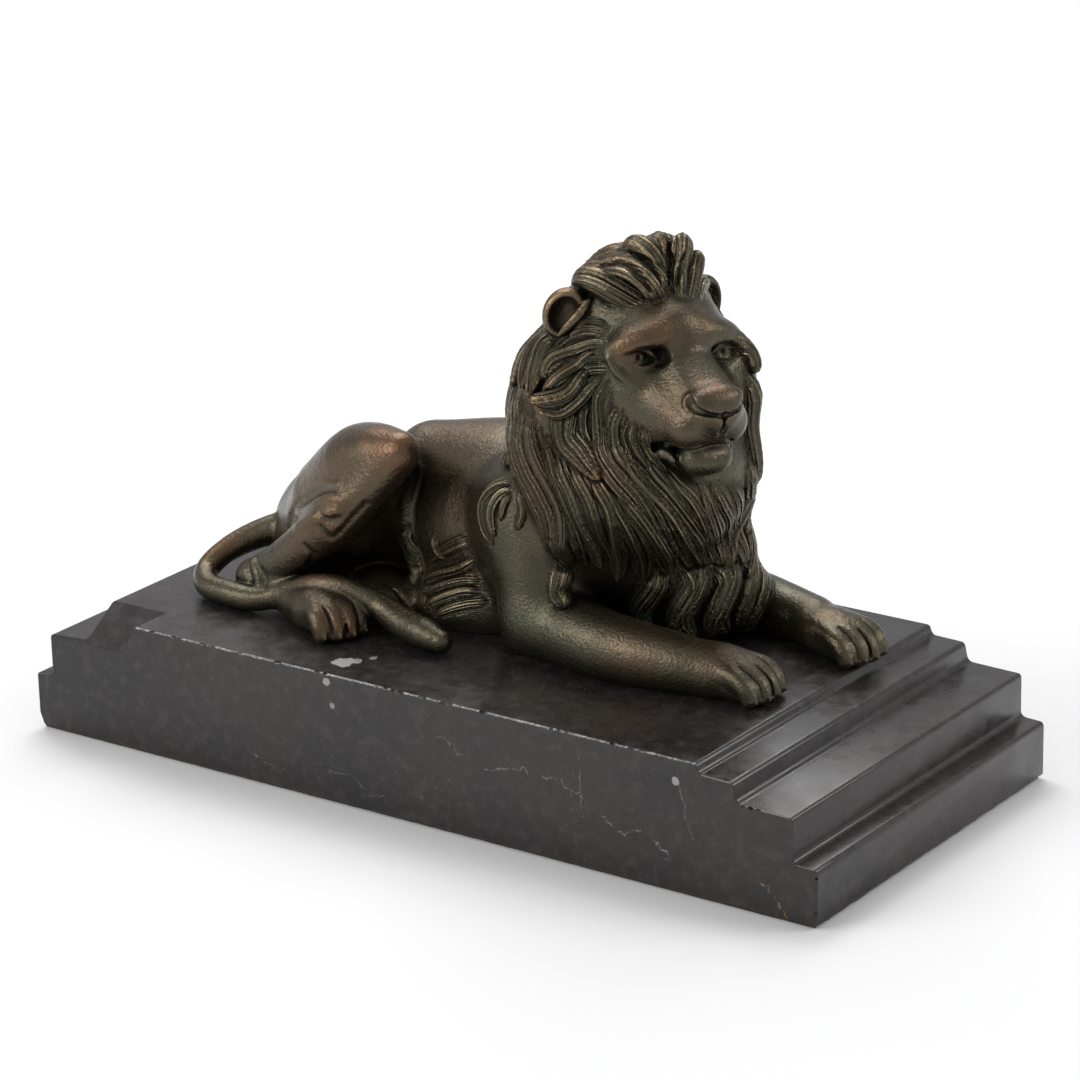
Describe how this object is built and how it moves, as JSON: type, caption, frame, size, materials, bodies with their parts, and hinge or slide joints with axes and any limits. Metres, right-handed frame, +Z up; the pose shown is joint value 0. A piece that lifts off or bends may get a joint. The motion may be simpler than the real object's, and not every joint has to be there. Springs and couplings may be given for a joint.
{
  "type": "reclining lion statuette",
  "caption": "Cast bronze lion lying with its head turned and its tail round its hind foot, on a black marble block stepped at both ends, with felt under it.",
  "frame": {"origin": "middle of the underside of the felt, on the surface that the statuette stands on", "axes": "+X along the block towards the lion's forepaws, +Y to the lion's left, away from the side that its head is turned to, +Z up"},
  "size_m": [0.3, 0.136, 0.1805],
  "materials": {
    "bronze": "cast bronze with a dark brown-green patina, rubbed to reddish brown on the high places, waxed",
    "marble": null,
    "felt": "dark felt glued to the underside"
  },
  "bodies": {
    "root": {"lion": "bronze", "marble_base": "marble", "felt_pad": "felt"}
  },
  "joints": []
}
